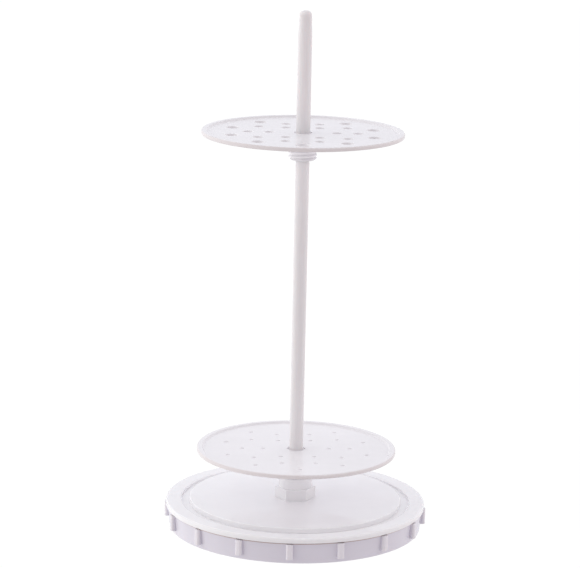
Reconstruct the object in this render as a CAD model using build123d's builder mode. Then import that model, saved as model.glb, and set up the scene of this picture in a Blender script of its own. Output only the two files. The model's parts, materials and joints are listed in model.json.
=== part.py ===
"""Rotary pipette stand: two perforated discs on an upright rod above a ribbed turntable base.

Millimetres, +Z up, origin on the ground under the rod. The base shell stands on rubber feet.
Everything above the ball race turns with the turntable about the Z axis.
"""
from build123d import *
import os

os.makedirs("parts", exist_ok=True)

# Driving dimensions -----------------------------------------------------------------------
TOTAL_HEIGHT = 444.0
BASE_RADIUS = 110.9
PLATE_RADIUS = 85.0
TUBE_RADIUS = 5.8
LOWER_PLATE_Z = 66.0          # underside of the lower disc
UPPER_PLATE_Z = 340.0         # underside of the upper disc

# Base
FOOT_LIFT = 1.0               # feet stand this far below the shell
SHELL_TOP = 18.1              # leaves a shadow gap under the turntable
SHELL_TOP_RADIUS = 109.0
SHELL_BOTTOM_RADIUS = 107.6
SHELL_WALL = 2.5
DECK_TOP = 17.0
DECK_THICKNESS = 2.5
WELL_RADIUS = 24.0
WELL_FLOOR = 14.9
HUB_RADIUS = 14.0
HUB_BOTTOM = 8.9
BUSH_OUTER = 6.0
STIFFENER_COUNT = 12
STIFFENER_WIDTH = 2.0
STIFFENER_BOTTOM = 5.0
FOOT_COUNT = 6
FOOT_CIRCLE = 95.0
FOOT_RADIUS = 7.0
FOOT_HEIGHT = 3.0
FOOT_STEM = 3.0

# Grip ribs round the base wall
RIB_COUNT = 16
RIB_WIDTH = 5.8
RIB_ROUNDING = 2.0
RIB_RADIUS = 112.2
RIB_BOTTOM = 5.0
RIB_TOP = 18.1
RIB_PHASE = -91.9             # degrees, one rib nearly facing -Y

# Turntable
SEAM_Z = 19.0
DISC_TOP = 25.4
DISC_RADIUS = 90.6
DISC_THICKNESS = 2.5
GROOVE_FLOOR = 21.0
GROOVE_OUTER = 97.6
RIM_TOP = 23.4
RIM_EDGE = 1.5                # rounding of the rim's outer edge
SKIRT_WALL = 2.5

# Ball race between shell and turntable
RACE_CIRCLE = 70.0
RACE_HALF_WIDTH = 6.0
RACE_SEAT = 16.0
BALL_RADIUS = 2.0
BALL_COUNT = 16
BALL_Z = 19.6
RACE_GROOVE = 2.2
LOWER_RACE_TOP = 18.6
UPPER_RACE_BOTTOM = 20.6
CAGE_HALF_HEIGHT = 0.6
CAGE_HALF_WIDTH = 4.5
POCKET_CLEARANCE = 0.15

# Rod socket
HEX_ACROSS_FLATS = 30.0
HEX_TOP = 35.1
COLLAR_RADIUS = 14.25
COLLAR_TOP = 43.8
TAIL_RADIUS = 9.0
TAIL_BOTTOM = 17.45
THREAD_RECESS_RADIUS = 12.1
THREAD_RECESS_FLOOR = 36.0
TUBE_SEAT = 30.5              # the lower tube stands here
SEAT_CLEARANCE = 0.1
LOCK_NUT_ACROSS_FLATS = 27.0
LOCK_NUT_HEIGHT = 5.0

# Pivot
PIVOT_RADIUS = 4.0
RUNNING_CLEARANCE = 0.05
FLANGE_RADIUS = 10.0
FLANGE_THICKNESS = 1.5
PIVOT_HEAD_HEIGHT = 5.3
PIVOT_HEAD_ACROSS_FLATS = 13.0
PIVOT_SCREW_TOP = 23.5
PIVOT_WASHER_RADIUS = 8.0
PIVOT_WASHER_THICKNESS = 1.55
PIVOT_INSERT_RADIUS = 5.5
PIVOT_INSERT_TOP = 24.0

# Discs
PLATE_THICKNESS = 2.0
LIP_HEIGHT = 3.5
LIP_WIDTH = 5.6
CENTRE_RECESS = 7.7           # shallow seat round the rod
CENTRE_RECESS_DEPTH = 1.0
INNER_RING = 28.2
MIDDLE_RING = 46.1
OUTER_RING = 62.2
LOWER_PHASE = 3.5             # degrees that the socket and lower disc have turned
SMALL_HOLE = 4.25
LARGE_HOLE = 5.5
HOLE_EDGE = 0.4
TIP_HOLE = 0.8
TIP_DIMPLE = 2.1

# Threaded bosses under the discs
BOSS_CORE = 10.2
BOSS_CREST = 11.9
THREAD_PITCH = 3.0
LOWER_BOSS_BOTTOM = 36.4
UPPER_BOSS_BOTTOM = 319.2
WEB_BOTTOM = 330.0
WEB_TOP = UPPER_PLATE_Z + PLATE_THICKNESS - CENTRE_RECESS_DEPTH

# Rod
TIE_ROD_RADIUS = 3.0
TIE_ROD_CLEARANCE = 0.2
TIE_ROD_BOTTOM = 26.0
TIE_ROD_TOP = 358.0
SOCKET_INSERT_RADIUS = 4.0
SOCKET_INSERT_BOTTOM = 25.5
HANDLE_BASE_RADIUS = 6.0
HANDLE_SHOULDER_RADIUS = 5.75
HANDLE_SHOULDER_Z = 422.0
HANDLE_TIP_RADIUS = 5.1
HANDLE_TIP_ROUNDING = 3.8
HANDLE_INSERT_RADIUS = 4.2
HANDLE_INSERT_TOP = 352.0
HANDLE_BORE_TOP = 361.0


def save(piece, name):
    """Label a finished piece and write its STEP file."""
    piece.part.label = name
    export_step(piece.part, f"parts/{name}.step")


def hex_prism(across_flats, bottom, top, bore):
    """Hexagon with a round bore."""
    with BuildPart() as prism:
        with BuildSketch(Plane.XY.offset(bottom)):
            RegularPolygon(across_flats / 2, 6, major_radius=False)
            if bore:
                Circle(bore, mode=Mode.SUBTRACT)
        extrude(amount=top - bottom)
    return prism.part


def ring(inner, outer, bottom, top):
    """Plain round washer, sleeve or tube."""
    with BuildPart() as sleeve:
        with BuildSketch(Plane.XY.offset(bottom)):
            Circle(outer)
            Circle(inner, mode=Mode.SUBTRACT)
        extrude(amount=top - bottom)
    return sleeve


# Base ---------------------------------------------------------------------------------------
def base_shell():
    """Ribbed outer shell with its deck, central hub, stiffeners and foot bosses."""
    deck_under = DECK_TOP - DECK_THICKNESS
    well_under = WELL_FLOOR - DECK_THICKNESS
    race_in = RACE_CIRCLE - RACE_HALF_WIDTH
    race_out = RACE_CIRCLE + RACE_HALF_WIDTH
    inner_top = SHELL_TOP_RADIUS - SHELL_WALL
    inner_bottom = SHELL_BOTTOM_RADIUS - SHELL_WALL
    with BuildPart() as shell:
        with BuildSketch(Plane.XZ):
            with BuildLine():
                Polyline(
                    (BUSH_OUTER, HUB_BOTTOM),
                    (HUB_RADIUS, HUB_BOTTOM),
                    (HUB_RADIUS, well_under),
                    (WELL_RADIUS + SHELL_WALL, well_under),
                    (WELL_RADIUS + SHELL_WALL, deck_under),
                    (inner_top, deck_under),
                    (inner_bottom, FOOT_LIFT),
                    (SHELL_BOTTOM_RADIUS, FOOT_LIFT),
                    (SHELL_TOP_RADIUS, SHELL_TOP),
                    (inner_top, SHELL_TOP),
                    (inner_top, DECK_TOP),
                    (race_out, DECK_TOP),
                    (race_out, RACE_SEAT),
                    (race_in, RACE_SEAT),
                    (race_in, DECK_TOP),
                    (WELL_RADIUS, DECK_TOP),
                    (WELL_RADIUS, WELL_FLOOR),
                    (BUSH_OUTER, WELL_FLOOR),
                    close=True,
                )
            make_face()
        revolve(axis=Axis.Z)
        with BuildSketch(Plane.XY.offset(RIB_BOTTOM)):
            rib_depth = RIB_RADIUS - SHELL_BOTTOM_RADIUS + 1
            with PolarLocations(RIB_RADIUS - rib_depth / 2, RIB_COUNT, start_angle=RIB_PHASE):
                RectangleRounded(rib_depth, RIB_WIDTH, RIB_ROUNDING)
        extrude(amount=RIB_TOP - RIB_BOTTOM)
        with BuildSketch(Plane.XY.offset(STIFFENER_BOTTOM)):
            stiffener_length = inner_bottom - HUB_RADIUS + 1
            with PolarLocations(HUB_RADIUS - 0.5 + stiffener_length / 2, STIFFENER_COUNT):
                Rectangle(stiffener_length, STIFFENER_WIDTH)
        extrude(amount=deck_under - STIFFENER_BOTTOM)
        with BuildSketch(Plane.XY.offset(FOOT_HEIGHT)):
            with PolarLocations(FOOT_CIRCLE, FOOT_COUNT):
                Circle(FOOT_RADIUS + 0.5)
        extrude(amount=deck_under - FOOT_HEIGHT)
        with BuildSketch(Plane.XY.offset(FOOT_HEIGHT)):
            with PolarLocations(FOOT_CIRCLE, FOOT_COUNT):
                Circle(FOOT_STEM)
        extrude(amount=2 * FOOT_HEIGHT, mode=Mode.SUBTRACT)
    save(shell, "base_shell")


def rubber_feet():
    """Six push-in feet, each a pad with a stem."""
    with BuildPart() as feet:
        with BuildSketch():
            with PolarLocations(FOOT_CIRCLE, FOOT_COUNT):
                Circle(FOOT_RADIUS)
        extrude(amount=FOOT_HEIGHT)
        with BuildSketch(Plane.XY.offset(FOOT_HEIGHT)):
            with PolarLocations(FOOT_CIRCLE, FOOT_COUNT):
                Circle(FOOT_STEM)
        extrude(amount=1.8 * FOOT_HEIGHT)
        chamfer(feet.faces().sort_by(Axis.Z)[0:FOOT_COUNT].edges(), 0.6)
    save(feet, "rubber_feet")


def pivot_bush():
    """Flanged plain bearing pressed into the hub."""
    bore = PIVOT_RADIUS + RUNNING_CLEARANCE
    with BuildPart() as bush:
        with BuildSketch(Plane.XY.offset(HUB_BOTTOM)):
            Circle(BUSH_OUTER)
        extrude(amount=WELL_FLOOR - HUB_BOTTOM)
        with BuildSketch(Plane.XY.offset(WELL_FLOOR)):
            Circle(FLANGE_RADIUS)
        extrude(amount=FLANGE_THICKNESS)
        with BuildSketch(Plane.XY.offset(HUB_BOTTOM)):
            Circle(bore)
        extrude(amount=WELL_FLOOR + FLANGE_THICKNESS - HUB_BOTTOM, mode=Mode.SUBTRACT)
    save(bush, "pivot_bush")


# Ball race ----------------------------------------------------------------------------------
def race(name, bottom, top):
    """Flat ring with a round ball groove."""
    with BuildPart() as track:
        with BuildSketch(Plane.XZ):
            with Locations((RACE_CIRCLE, (bottom + top) / 2)):
                Rectangle(2 * RACE_HALF_WIDTH, top - bottom)
            with Locations((RACE_CIRCLE, BALL_Z)):
                Circle(RACE_GROOVE, mode=Mode.SUBTRACT)
        revolve(axis=Axis.Z)
    save(track, name)


def ball_cage():
    """Thin ring with a round pocket for each ball."""
    with BuildPart() as cage:
        with BuildSketch(Plane.XY.offset(BALL_Z - CAGE_HALF_HEIGHT)):
            Circle(RACE_CIRCLE + CAGE_HALF_WIDTH)
            Circle(RACE_CIRCLE - CAGE_HALF_WIDTH, mode=Mode.SUBTRACT)
            with PolarLocations(RACE_CIRCLE, BALL_COUNT):
                Circle(BALL_RADIUS + POCKET_CLEARANCE, mode=Mode.SUBTRACT)
        extrude(amount=2 * CAGE_HALF_HEIGHT)
    save(cage, "ball_cage")


def bearing_balls():
    """The ring of steel balls."""
    with BuildPart() as balls:
        with Locations(Location((0, 0, BALL_Z))):
            with PolarLocations(RACE_CIRCLE, BALL_COUNT):
                Sphere(BALL_RADIUS)
    save(balls, "bearing_balls")


# Turntable ----------------------------------------------------------------------------------
def turntable():
    """Top of the base: central disc, drip groove and rounded rim over the shell."""
    disc_under = DISC_TOP - DISC_THICKNESS
    wall = SKIRT_WALL
    race_in = RACE_CIRCLE - RACE_HALF_WIDTH
    race_out = RACE_CIRCLE + RACE_HALF_WIDTH
    with BuildPart() as table:
        with BuildSketch(Plane.XZ):
            with BuildLine():
                Polyline(
                    (TAIL_RADIUS, disc_under),
                    (DISC_RADIUS - wall, disc_under),
                    (DISC_RADIUS - wall, SEAM_Z),
                    (GROOVE_OUTER + wall, SEAM_Z),
                    (GROOVE_OUTER + wall, GROOVE_FLOOR),
                    (BASE_RADIUS - wall, GROOVE_FLOOR),
                    (BASE_RADIUS - wall, SEAM_Z),
                    (BASE_RADIUS, SEAM_Z),
                    (BASE_RADIUS, RIM_TOP),
                    (GROOVE_OUTER, RIM_TOP),
                    (GROOVE_OUTER, GROOVE_FLOOR),
                    (DISC_RADIUS, GROOVE_FLOOR),
                    (DISC_RADIUS, DISC_TOP),
                    (TAIL_RADIUS, DISC_TOP),
                    close=True,
                )
            make_face()
        revolve(axis=Axis.Z)
        outer_edge = table.edges().filter_by(GeomType.CIRCLE).group_by(SortBy.RADIUS)[-1]
        fillet(outer_edge.sort_by(Axis.Z)[-1], RIM_EDGE)
        top_edges = table.edges().filter_by(GeomType.CIRCLE).filter_by_position(
            Axis.Z, RIM_TOP - 0.01, DISC_TOP + 0.01
        )
        inner_rim = [e for e in top_edges if abs(e.radius - GROOVE_OUTER) < 0.01]
        disc_edge = [e for e in top_edges if abs(e.radius - DISC_RADIUS) < 0.01]
        fillet(inner_rim + disc_edge, 0.9)
        with BuildSketch(Plane.XY.offset(disc_under)):
            for inner in (race_in - wall, race_out):
                Circle(inner + wall)
                Circle(inner, mode=Mode.SUBTRACT)
        extrude(amount=-1.5)
    save(table, "turntable")


# Rod socket and its fixings -------------------------------------------------------------------
def rod_socket():
    """Hexagon and round collar standing on the turntable, with a tail through it."""
    with BuildPart() as socket:
        with BuildSketch(Plane.XY.offset(TAIL_BOTTOM)):
            Circle(TAIL_RADIUS)
        extrude(amount=DISC_TOP - TAIL_BOTTOM)
        with BuildSketch(Plane.XY.offset(DISC_TOP)):
            RegularPolygon(HEX_ACROSS_FLATS / 2, 6, major_radius=False, rotation=LOWER_PHASE)
        extrude(amount=HEX_TOP - DISC_TOP)
        chamfer(socket.faces().sort_by(Axis.Z)[-1].edges(), 0.4)
        with BuildSketch(Plane.XY.offset(HEX_TOP)):
            Circle(COLLAR_RADIUS)
        extrude(amount=COLLAR_TOP - HEX_TOP)
        fillet(socket.faces().sort_by(Axis.Z)[-1].edges(), 0.7)
        with BuildSketch(Plane.XY.offset(COLLAR_TOP)):
            Circle(THREAD_RECESS_RADIUS)
        extrude(amount=THREAD_RECESS_FLOOR - COLLAR_TOP, mode=Mode.SUBTRACT)
        with BuildSketch(Plane.XY.offset(THREAD_RECESS_FLOOR)):
            Circle(TUBE_RADIUS + SEAT_CLEARANCE)
        extrude(amount=TUBE_SEAT - THREAD_RECESS_FLOOR, mode=Mode.SUBTRACT)
        with BuildSketch(Plane.XY.offset(TUBE_SEAT)):
            Circle(SOCKET_INSERT_RADIUS)
        extrude(amount=SOCKET_INSERT_BOTTOM - TUBE_SEAT, mode=Mode.SUBTRACT)
        with BuildSketch(Plane.XY.offset(TAIL_BOTTOM)):
            Circle(PIVOT_INSERT_RADIUS)
        extrude(amount=PIVOT_INSERT_TOP - TAIL_BOTTOM, mode=Mode.SUBTRACT)
    save(socket, "rod_socket")


def socket_lock_nut():
    """Hexagon nut that clamps the socket to the turntable from below."""
    under = DISC_TOP - DISC_THICKNESS
    with BuildPart() as nut:
        add(hex_prism(LOCK_NUT_ACROSS_FLATS, under - LOCK_NUT_HEIGHT, under, TAIL_RADIUS))
    save(nut, "socket_lock_nut")


def pivot_screw():
    """Hexagon-head screw on which the turntable turns."""
    head_top = HUB_BOTTOM - RUNNING_CLEARANCE - PIVOT_WASHER_THICKNESS
    with BuildPart() as screw:
        add(hex_prism(PIVOT_HEAD_ACROSS_FLATS, head_top - PIVOT_HEAD_HEIGHT, head_top, 0))
        with BuildSketch(Plane.XY.offset(head_top)):
            Circle(PIVOT_RADIUS)
        extrude(amount=PIVOT_SCREW_TOP - head_top)
        chamfer(screw.faces().sort_by(Axis.Z)[-1].edges(), 0.6)
    save(screw, "pivot_screw")


# Discs ----------------------------------------------------------------------------------------
def thread_groove():
    """One right-hand turn of the groove between two thread crests, starting at z = 0."""
    reach = 0.4                                   # the cutter stands this far outside the crest
    depth = BOSS_CREST - BOSS_CORE + reach
    mouth = THREAD_PITCH * 0.76
    floor = THREAD_PITCH * 0.26
    with BuildPart() as groove:
        with BuildLine() as path:
            Helix(THREAD_PITCH, THREAD_PITCH, BOSS_CREST + reach)
        start = Plane(origin=path.line @ 0, x_dir=(-1, 0, 0), z_dir=path.line % 0)
        with BuildSketch(start):
            with BuildLine():
                Polyline((0, -mouth / 2), (depth, -floor / 2), (depth, floor / 2), (0, mouth / 2), close=True)
            make_face()
        sweep(is_frenet=True)
    return groove.part


def threaded_boss(bottom, top):
    """Round boss with a bevelled lead and a coarse right-hand thread cut turn by turn."""
    groove = thread_groove()
    lead = BOSS_CREST - BOSS_CORE
    turns = int((top - bottom) / THREAD_PITCH)
    with BuildPart() as boss:
        with BuildSketch(Plane.XZ):
            with BuildLine():
                Polyline(
                    (0, bottom),
                    (BOSS_CORE - 0.2, bottom),
                    (BOSS_CREST, bottom + lead),
                    (BOSS_CREST, top + 1),
                    (0, top + 1),
                    close=True,
                )
            make_face()
        revolve(axis=Axis.Z)
        for turn in range(turns + 1):
            add(groove.moved(Location((0, 0, top - (turn + 1) * THREAD_PITCH))), mode=Mode.SUBTRACT)
    return boss.part


def plate_blank(under, boss_bottom):
    """Disc with its raised lip and threaded boss, solid through the middle."""
    lip_top = under + LIP_HEIGHT
    face = under + PLATE_THICKNESS
    boss = threaded_boss(boss_bottom, under)
    with BuildPart() as blank:
        with BuildSketch(Plane.XZ):
            with BuildLine():
                Polyline((0, face), (0, under), (PLATE_RADIUS - 0.8, under))
                RadiusArc((PLATE_RADIUS - 0.8, under), (PLATE_RADIUS, under + 0.8), -0.8)
                Line((PLATE_RADIUS, under + 0.8), (PLATE_RADIUS, lip_top - 1.2))
                RadiusArc((PLATE_RADIUS, lip_top - 1.2), (PLATE_RADIUS - 1.2, lip_top), -1.2)
                Line((PLATE_RADIUS - 1.2, lip_top), (PLATE_RADIUS - LIP_WIDTH + 1.4, lip_top))
                Line((PLATE_RADIUS - LIP_WIDTH + 1.4, lip_top), (PLATE_RADIUS - LIP_WIDTH, face))
                Line((PLATE_RADIUS - LIP_WIDTH, face), (0, face))
            make_face()
        revolve(axis=Axis.Z)
        add(boss)
    return blank.part


def hole_rings(face, phase, radii, sink):
    """The three rings of holes, inner to outer, each with a bevelled top edge."""
    rings = ((INNER_RING, 6, 0), (MIDDLE_RING, 10, 0), (OUTER_RING, 10, 18))
    for (circle, count, turn), radius in zip(rings, radii):
        with Locations(Plane.XY.offset(face)):
            with PolarLocations(circle, count, start_angle=phase + turn):
                CounterSinkHole(radius, radius + sink, depth=2 * PLATE_THICKNESS, counter_sink_angle=90)


def lower_plate():
    """Disc whose small dimples take the pipette tips; its boss enters the socket collar."""
    with BuildPart() as plate:
        add(plate_blank(LOWER_PLATE_Z, LOWER_BOSS_BOTTOM))
        face = LOWER_PLATE_Z + PLATE_THICKNESS
        hole_rings(face, LOWER_PHASE, (TIP_HOLE, TIP_HOLE, TIP_HOLE), TIP_DIMPLE - TIP_HOLE)
        with BuildSketch(Plane.XY.offset(LOWER_BOSS_BOTTOM)):
            Circle(TUBE_RADIUS + SEAT_CLEARANCE)
        extrude(amount=face - LOWER_BOSS_BOTTOM, mode=Mode.SUBTRACT)
        with BuildSketch(Plane.XY.offset(face - CENTRE_RECESS_DEPTH)):
            Circle(CENTRE_RECESS)
        extrude(amount=CENTRE_RECESS_DEPTH, mode=Mode.SUBTRACT)
    save(plate, "lower_plate")


def upper_plate():
    """Disc whose large holes hold the pipette bodies; the rod clamps a web inside its boss."""
    with BuildPart() as plate:
        add(plate_blank(UPPER_PLATE_Z, UPPER_BOSS_BOTTOM))
        face = UPPER_PLATE_Z + PLATE_THICKNESS
        hole_rings(face, 0, (SMALL_HOLE, SMALL_HOLE, LARGE_HOLE), HOLE_EDGE)
        with BuildSketch(Plane.XY.offset(UPPER_BOSS_BOTTOM)):
            Circle(TUBE_RADIUS + SEAT_CLEARANCE)
        extrude(amount=WEB_BOTTOM - UPPER_BOSS_BOTTOM, mode=Mode.SUBTRACT)
        with BuildSketch(Plane.XY.offset(WEB_BOTTOM)):
            Circle(TIE_ROD_RADIUS + TIE_ROD_CLEARANCE)
        extrude(amount=WEB_TOP - WEB_BOTTOM, mode=Mode.SUBTRACT)
        with BuildSketch(Plane.XY.offset(WEB_TOP)):
            Circle(CENTRE_RECESS)
        extrude(amount=CENTRE_RECESS_DEPTH, mode=Mode.SUBTRACT)
    save(plate, "upper_plate")


# Rod --------------------------------------------------------------------------------------------
def handle():
    """Tapered upper rod with a rounded tip, screwed onto the tie rod."""
    with BuildPart() as grip:
        with BuildSketch(Plane.XZ):
            with BuildLine():
                Polyline(
                    (0, WEB_TOP),
                    (HANDLE_BASE_RADIUS, WEB_TOP),
                    (HANDLE_SHOULDER_RADIUS, HANDLE_SHOULDER_Z),
                    (HANDLE_TIP_RADIUS, TOTAL_HEIGHT),
                    (0, TOTAL_HEIGHT),
                    close=True,
                )
            make_face()
        revolve(axis=Axis.Z)
        fillet(grip.faces().sort_by(Axis.Z)[-1].edges(), HANDLE_TIP_ROUNDING)
        with BuildSketch(Plane.XY.offset(WEB_TOP)):
            Circle(HANDLE_INSERT_RADIUS)
        extrude(amount=HANDLE_INSERT_TOP - WEB_TOP, mode=Mode.SUBTRACT)
        with BuildSketch(Plane.XY.offset(HANDLE_INSERT_TOP)):
            Circle(TIE_ROD_RADIUS + TIE_ROD_CLEARANCE)
        extrude(amount=HANDLE_BORE_TOP - HANDLE_INSERT_TOP, mode=Mode.SUBTRACT)
    save(grip, "handle")


def tie_rod():
    """Steel rod that pulls the handle, upper disc, tube and socket together."""
    with BuildPart() as rod:
        with BuildSketch(Plane.XY.offset(TIE_ROD_BOTTOM)):
            Circle(TIE_ROD_RADIUS)
        extrude(amount=TIE_ROD_TOP - TIE_ROD_BOTTOM)
        chamfer(rod.edges().filter_by(GeomType.CIRCLE), 0.5)
    save(rod, "tie_rod")


base_shell()
rubber_feet()
pivot_bush()
race("lower_race", RACE_SEAT, LOWER_RACE_TOP)
race("upper_race", UPPER_RACE_BOTTOM, DISC_TOP - DISC_THICKNESS)
ball_cage()
bearing_balls()
turntable()
rod_socket()
socket_lock_nut()
pivot_screw()

flange_top = WELL_FLOOR + FLANGE_THICKNESS
washer_top = HUB_BOTTOM - RUNNING_CLEARANCE
save(ring(PIVOT_RADIUS + 0.1, PIVOT_WASHER_RADIUS, washer_top - PIVOT_WASHER_THICKNESS, washer_top),
     "pivot_washer")
save(ring(PIVOT_RADIUS + 0.1, FLANGE_RADIUS, flange_top + RUNNING_CLEARANCE, TAIL_BOTTOM),
     "thrust_washer")
save(ring(PIVOT_RADIUS, PIVOT_INSERT_RADIUS, TAIL_BOTTOM, PIVOT_INSERT_TOP), "pivot_insert")
save(ring(TIE_ROD_RADIUS, SOCKET_INSERT_RADIUS, SOCKET_INSERT_BOTTOM, TUBE_SEAT), "socket_insert")
save(ring(TIE_ROD_RADIUS, HANDLE_INSERT_RADIUS, WEB_TOP, HANDLE_INSERT_TOP), "handle_insert")
save(ring(TIE_ROD_RADIUS + TIE_ROD_CLEARANCE, TUBE_RADIUS, TUBE_SEAT, WEB_BOTTOM), "lower_tube")
lower_plate()
upper_plate()
handle()
tie_rod()
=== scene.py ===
"""Looks for the rotary pipette stand: materials, light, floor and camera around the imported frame."""
import json
import math

import bpy
from mathutils import Euler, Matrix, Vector


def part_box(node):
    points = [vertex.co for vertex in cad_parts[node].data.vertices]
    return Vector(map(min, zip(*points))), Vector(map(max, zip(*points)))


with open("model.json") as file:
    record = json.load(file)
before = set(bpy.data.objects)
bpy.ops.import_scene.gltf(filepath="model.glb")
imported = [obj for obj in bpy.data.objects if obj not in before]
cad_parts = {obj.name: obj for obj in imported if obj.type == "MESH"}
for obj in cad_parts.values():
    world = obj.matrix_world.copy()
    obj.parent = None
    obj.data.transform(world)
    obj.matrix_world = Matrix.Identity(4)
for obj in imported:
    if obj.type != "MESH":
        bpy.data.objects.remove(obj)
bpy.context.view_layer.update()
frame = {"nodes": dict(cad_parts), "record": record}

# Camera, in metres and degrees: where it stands, and how far it looks down, left and tilted
CAMERA_AT = Vector((0.0, -2.1795, 0.7024))
LOOK_DOWN = 12.674
LOOK_LEFT = 0.217
ROLL = 1.227
LENS = 164.13

# Colours are linear
DISC_PP = (0.86, 0.845, 0.87)
TURNTABLE_PP = (0.93, 0.92, 0.94)
# the shell's mauve tint, made darker than the turntable's plastic as painted shade for the wall's dim
# front
SHELL_TINT_AND_SHADE_PP = (0.76, 0.735, 0.81)
PAINTED_LIT_RIB_PP = (0.85, 0.82, 0.865)
EDGE_SHADE_PP = (0.78, 0.725, 0.73)
SEAM_SHADE = (0.60, 0.45, 0.41)
ROD_WHITE = (0.83, 0.80, 0.81)
RUBBER = (0.10, 0.10, 0.105)
ACETAL = (0.78, 0.76, 0.70)
ZINC = (0.56, 0.57, 0.59)
BRASS = (0.72, 0.50, 0.20)

# Light tent: even fill all round, and each panel's direction and colour
FILL = (0.475, 0.45, 0.48)
PANELS = {
    "left": ((-1, 0, 0.1), (0.77, 0.77, 0.71)),
    "right": ((1, 0, 0.1), (0.41, 0.39, 0.36)),
    "back_left": ((-1, 1, 0.5), (0.22, 0.25, 0.28)),
    "back_right": ((1, 1, 0.5), (0.34, 0.36, 0.37)),
}

# Lamps that stand for light coming through the milky discs: radiance, fitted and not measured
GLOW = {"upper_plate": 0.40, "lower_plate": 0.17}
GLOW_TINT = (1.0, 0.97, 0.98)
GLOW_SPAN = 0.94                  # a lamp's radius as a share of its disc's
DISC_DEPTH = 0.0035               # metres from a disc's lip to its underside
GLOW_GAP = 0.0005                 # metres between a disc's underside and its lamp

# Where the tones on the plastic change, in metres
RIB_CRESTS = (0.1096, 0.1106)     # from the axis: here the ribs begin, and a painted highlight makes their crests paler
DISC_EDGE = (0.0838, 0.0846)      # from the axis: here a disc's edge darkens with painted shade
SEAM_SHADE_BAND = (0.0174, 0.0179)      # above the ground: here painted shade thickens towards the seam

FLOOR_REACH = 9.0                 # metres from the stand to the floor's sides


# Node helpers -------------------------------------------------------------------------------
def new_material(name):
    """A material with one Principled shader; returns the material, its tree and the shader."""
    mat = bpy.data.materials.new(name)
    mat.use_nodes = True
    tree = mat.node_tree
    return mat, tree, tree.nodes["Principled BSDF"]


def object_coords(tree, stretch=(1, 1, 1)):
    """Object coordinates in metres, stretched per axis."""
    coords = tree.nodes.new("ShaderNodeTexCoord")
    mapping = tree.nodes.new("ShaderNodeMapping")
    mapping.inputs["Scale"].default_value = stretch
    tree.links.new(coords.outputs["Object"], mapping.inputs["Vector"])
    return mapping.outputs["Vector"]


def noise(tree, vector, scale, detail=3.0, roughness=0.5):
    """Noise factor between 0 and 1; scale is in cells per metre."""
    node = tree.nodes.new("ShaderNodeTexNoise")
    node.inputs["Scale"].default_value = scale
    node.inputs["Detail"].default_value = detail
    node.inputs["Roughness"].default_value = roughness
    tree.links.new(vector, node.inputs["Vector"])
    return node.outputs["Fac"]


def remap(tree, factor, low, high, start=0.3, end=0.7):
    """Stretches a factor so that start..end becomes low..high."""
    node = tree.nodes.new("ShaderNodeMapRange")
    node.inputs["From Min"].default_value = start
    node.inputs["From Max"].default_value = end
    node.inputs["To Min"].default_value = low
    node.inputs["To Max"].default_value = high
    tree.links.new(factor, node.inputs["Value"])
    return node.outputs["Result"]


def blend_colours(tree, factor, first, second):
    """Colour that goes from first to second with the factor."""
    node = tree.nodes.new("ShaderNodeMix")
    node.data_type = "RGBA"
    node.inputs["A"].default_value = (*first, 1)
    node.inputs["B"].default_value = (*second, 1)
    tree.links.new(factor, node.inputs["Factor"])
    return node.outputs["Result"]


def bump(tree, height, depth, strength=1.0, below=None):
    """Bump of the given depth in metres, laid over another normal if there is one."""
    node = tree.nodes.new("ShaderNodeBump")
    node.inputs["Distance"].default_value = depth
    node.inputs["Strength"].default_value = strength
    tree.links.new(height, node.inputs["Height"])
    if below is not None:
        tree.links.new(below, node.inputs["Normal"])
    return node.outputs["Normal"]


def shade(colour, factor):
    """The colour made lighter or darker."""
    return tuple(c * factor for c in colour)


# Materials ----------------------------------------------------------------------------------
def let_light_in(shader, weight, depth):
    """Light soaks this deep into the plastic, in metres."""
    shader.inputs["Subsurface Weight"].default_value = weight
    shader.inputs["Subsurface Radius"].default_value = (1.0, 0.9, 0.85)
    shader.inputs["Subsurface Scale"].default_value = depth


def moulded_plastic(name, colour, rough=(0.10, 0.20), milky=0.15, depth=0.003):
    """Injection-moulded plastic: clouded tone, patchy gloss, fine grain and slight sink waves."""
    mat, tree, shader = new_material(name)
    coords = object_coords(tree)
    cloud = remap(tree, noise(tree, coords, 22, 4), 0, 1)
    tone = blend_colours(tree, cloud, shade(colour, 0.975), shade(colour, 1.02))
    tree.links.new(tone, shader.inputs["Base Color"])
    gloss = remap(tree, noise(tree, coords, 75, 5, 0.6), *rough)
    tree.links.new(gloss, shader.inputs["Roughness"])
    waves = bump(tree, noise(tree, coords, 28, 1), 0.00006)
    skin = bump(tree, noise(tree, coords, 2200, 2), 0.0000012, below=waves)
    tree.links.new(skin, shader.inputs["Normal"])
    shader.inputs["IOR"].default_value = 1.49
    let_light_in(shader, milky, depth)
    return mat


def distance_from_axis(tree):
    """Distance from the stand's axis in metres."""
    reach = tree.nodes.new("ShaderNodeVectorMath")
    reach.operation = "LENGTH"
    tree.links.new(object_coords(tree, (1, 1, 0)), reach.inputs[0])
    return reach.outputs["Value"]


def height(tree):
    """Height above the ground in metres."""
    axes = tree.nodes.new("ShaderNodeSeparateXYZ")
    tree.links.new(object_coords(tree), axes.inputs[0])
    return axes.outputs["Z"]


def times(tree, first, second):
    """Product of two factors."""
    node = tree.nodes.new("ShaderNodeMath")
    node.operation = "MULTIPLY"
    tree.links.new(first, node.inputs[0])
    tree.links.new(second, node.inputs[1])
    return node.outputs["Value"]


def broken_up(tree, factor, cells):
    """Factor thinned out here and there by a noise of the given cells per metre."""
    patches = noise(tree, object_coords(tree), cells, 4, 0.6)
    return times(tree, factor, remap(tree, patches, 0.7, 1.0))


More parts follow.
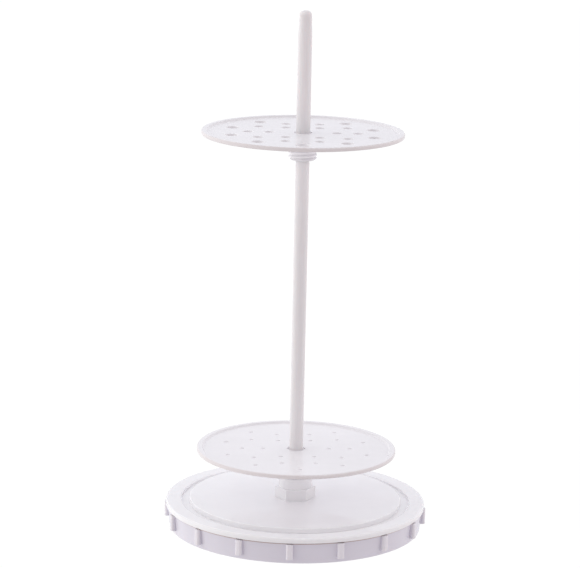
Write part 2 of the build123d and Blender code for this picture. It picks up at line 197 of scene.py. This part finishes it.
def tone_over(tree, factor, tone):
    """Lays a tone over the shader's base colour where the factor is high."""
    base = tree.nodes["Principled BSDF"].inputs["Base Color"]
    over = tree.nodes.new("ShaderNodeMix")
    over.data_type = "RGBA"
    over.inputs["B"].default_value = (*tone, 1)
    tree.links.new(factor, over.inputs["Factor"])
    tree.links.new(base.links[0].from_socket, over.inputs["A"])
    tree.links.new(over.outputs["Result"], base)


def ribbed_plastic(name, colour, lit_crests, dust_and_shade):
    """The shell's plastic, with a painted highlight on the rib crests and painted shade along the seam
    between them.
    """
    mat = moulded_plastic(name, colour)
    tree = mat.node_tree
    reach = distance_from_axis(tree)
    # painted highlight: the rib crests are made paler, as if caught by the side light
    crests = remap(tree, reach, 0, 1, *RIB_CRESTS)
    tone_over(tree, broken_up(tree, crests, 400), lit_crests)
    # painted shade: a darker, reddish band between the ribs just under the rim's overhang
    near_seam = remap(tree, height(tree), 0, 1, *SEAM_SHADE_BAND)
    between_ribs = remap(tree, reach, 1, 0, *RIB_CRESTS)
    tone_over(tree, broken_up(tree, times(tree, near_seam, between_ribs), 900), dust_and_shade)
    return mat


def disc_plastic(name, colour, edge):
    """The discs' plastic, with warmer, darker painted shade on the outer edge."""
    mat = moulded_plastic(name, colour, (0.15, 0.26), milky=0.0)
    tree = mat.node_tree
    # painted shade: the disc's outer edge made warmer and darker
    rim = remap(tree, distance_from_axis(tree), 0, 1, *DISC_EDGE)
    tone_over(tree, broken_up(tree, rim, 300), edge)
    return mat


def drawn_plastic(name, colour):
    """Extruded rod plastic: satin, with faint lengthwise draw lines."""
    mat, tree, shader = new_material(name)
    lines = noise(tree, object_coords(tree, (1, 1, 0.02)), 1400, 3)
    tone = blend_colours(tree, remap(tree, lines, 0, 1), shade(colour, 0.965), shade(colour, 1.02))
    tree.links.new(tone, shader.inputs["Base Color"])
    tree.links.new(remap(tree, lines, 0.42, 0.58), shader.inputs["Roughness"])
    shader.inputs["Specular IOR Level"].default_value = 0.3
    tree.links.new(bump(tree, lines, 0.000004), shader.inputs["Normal"])
    shader.inputs["IOR"].default_value = 1.49
    let_light_in(shader, 0.5, 0.004)
    return mat


def rubber(name, colour):
    """Matt elastomer with a dusty, pitted skin."""
    mat, tree, shader = new_material(name)
    coords = object_coords(tree)
    dust_and_shade = remap(tree, noise(tree, coords, 160, 5, 0.65), 0, 1)
    tone = blend_colours(tree, dust_and_shade, colour, shade(colour, 1.5))
    tree.links.new(tone, shader.inputs["Base Color"])
    tree.links.new(remap(tree, noise(tree, coords, 300, 3), 0.65, 0.85), shader.inputs["Roughness"])
    tree.links.new(bump(tree, noise(tree, coords, 1500, 4), 0.00005), shader.inputs["Normal"])
    return mat


def metal(name, colour, rough, scratch_scale):
    """Machined or plated metal with turned scratches and uneven gloss."""
    mat, tree, shader = new_material(name)
    shader.inputs["Metallic"].default_value = 1.0
    scratches = noise(tree, object_coords(tree, (1, 1, 12)), scratch_scale, 4, 0.6)
    stains = remap(tree, noise(tree, object_coords(tree), 120, 4), 0, 1)
    tone = blend_colours(tree, stains, shade(colour, 0.88), shade(colour, 1.05))
    tree.links.new(tone, shader.inputs["Base Color"])
    tree.links.new(remap(tree, scratches, *rough), shader.inputs["Roughness"])
    tree.links.new(bump(tree, scratches, 0.00001), shader.inputs["Normal"])
    return mat


def floor_material():
    """Plain white studio floor, lit evenly to pure white."""
    mat, tree, shader = new_material("studio_floor")
    tone = remap(tree, noise(tree, object_coords(tree), 3, 2), 0.02, 0.03)
    tree.links.new(tone, shader.inputs["Base Color"])
    shader.inputs["Roughness"].default_value = 0.9
    shader.inputs["Specular IOR Level"].default_value = 0.0
    shader.inputs["Emission Color"].default_value = (1, 1, 1, 1)
    shader.inputs["Emission Strength"].default_value = 1.0
    return mat


# Scene --------------------------------------------------------------------------------------
def paint_nodes():
    """Gives every CAD node the finish of its material slot."""
    finishes = {
        "base_polypropylene": ribbed_plastic("base_polypropylene", SHELL_TINT_AND_SHADE_PP, PAINTED_LIT_RIB_PP, SEAM_SHADE),
        "turntable_polypropylene": moulded_plastic(
            "turntable_polypropylene", TURNTABLE_PP, (0.02, 0.045)
        ),
        "disc_polypropylene": disc_plastic("disc_polypropylene", DISC_PP, EDGE_SHADE_PP),
        "rod_plastic": drawn_plastic("rod_plastic", ROD_WHITE),
        "foot_rubber": rubber("foot_rubber", RUBBER),
        "bearing_acetal": moulded_plastic("bearing_acetal", ACETAL, (0.35, 0.5)),
        "zinc_steel": metal("zinc_steel", ZINC, (0.22, 0.38), 900),
        "insert_brass": metal("insert_brass", BRASS, (0.25, 0.40), 1200),
    }
    for part in frame["record"]["subparts"]:
        node = frame["nodes"][part["node"]]
        node.data.materials.clear()
        node.data.materials.append(finishes[part["material_slot"]])


def make_floor():
    """A wide flat floor at the stand's feet."""
    mesh = bpy.data.meshes.new("floor")
    signs = [(-1, -1), (1, -1), (1, 1), (-1, 1)]
    corners = [(x * FLOOR_REACH, y * FLOOR_REACH, 0) for x, y in signs]
    mesh.from_pydata(corners, [], [(0, 1, 2, 3)])
    floor = bpy.data.objects.new("floor", mesh)
    bpy.context.collection.objects.link(floor)
    mesh.materials.append(floor_material())
    # The floor shows as plain white; the tent's lower half stands for the light it throws back
    floor.visible_diffuse = False
    floor.visible_glossy = False
    floor.visible_transmission = False
    floor.visible_shadow = False


def make_world():
    """Light tent: soft panels of light around the stand, over a dim even fill."""
    world = bpy.data.worlds.new("tent")
    world.use_nodes = True
    bpy.context.scene.world = world
    tree = world.node_tree
    coords = tree.nodes.new("ShaderNodeTexCoord")
    total = tree.nodes.new("ShaderNodeRGB")
    total.name = "fill"
    total.outputs["Color"].default_value = (*FILL, 1)
    light = total.outputs["Color"]
    for name, (towards, colour) in PANELS.items():
        along = tree.nodes.new("ShaderNodeVectorMath")
        along.operation = "DOT_PRODUCT"
        along.inputs[1].default_value = Vector(towards).normalized()
        tree.links.new(coords.outputs["Generated"], along.inputs[0])
        glow = remap(tree, along.outputs["Value"], 0, 1, 0.0, 1.0)
        panel = tree.nodes.new("ShaderNodeMix")
        panel.name = name
        panel.data_type = "RGBA"
        panel.blend_type = "ADD"
        panel.inputs["B"].default_value = (*colour, 1)
        tree.links.new(glow, panel.inputs["Factor"])
        tree.links.new(light, panel.inputs["A"])
        light = panel.outputs["Result"]
    tree.links.new(light, tree.nodes["Background"].inputs["Color"])


def make_glow():
    """Light that the milky discs let through, as a dim lamp just under each."""
    for name, radiance in GLOW.items():
        low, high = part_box(name)
        radius = (high[0] - low[0]) / 2 * GLOW_SPAN
        lamp = bpy.data.lights.new("glow_" + name, "AREA")
        lamp.shape = "DISK"
        lamp.size = 2 * radius
        lamp.energy = radiance * math.pi * math.pi * radius ** 2
        lamp.color = GLOW_TINT
        glow = bpy.data.objects.new("glow_" + name, lamp)
        glow.location = (0, 0, high[2] - DISC_DEPTH - GLOW_GAP)
        glow.visible_camera = False
        glow.visible_glossy = False
        bpy.context.collection.objects.link(glow)


def make_camera():
    """Long lens at the photo's height and distance."""
    data = bpy.data.cameras.new("camera")
    data.lens = LENS
    data.sensor_width = 36.0
    data.clip_end = 50.0
    camera = bpy.data.objects.new("camera", data)
    camera.location = CAMERA_AT
    aim = Euler((math.radians(90 - LOOK_DOWN), 0, math.radians(LOOK_LEFT)), "XYZ").to_matrix()
    camera.rotation_euler = (aim @ Euler((0, 0, math.radians(ROLL))).to_matrix()).to_euler()
    bpy.context.collection.objects.link(camera)
    bpy.context.scene.camera = camera


bpy.context.scene.view_settings.view_transform = "Standard"
make_camera()
make_floor()
make_world()
make_glow()
paint_nodes()
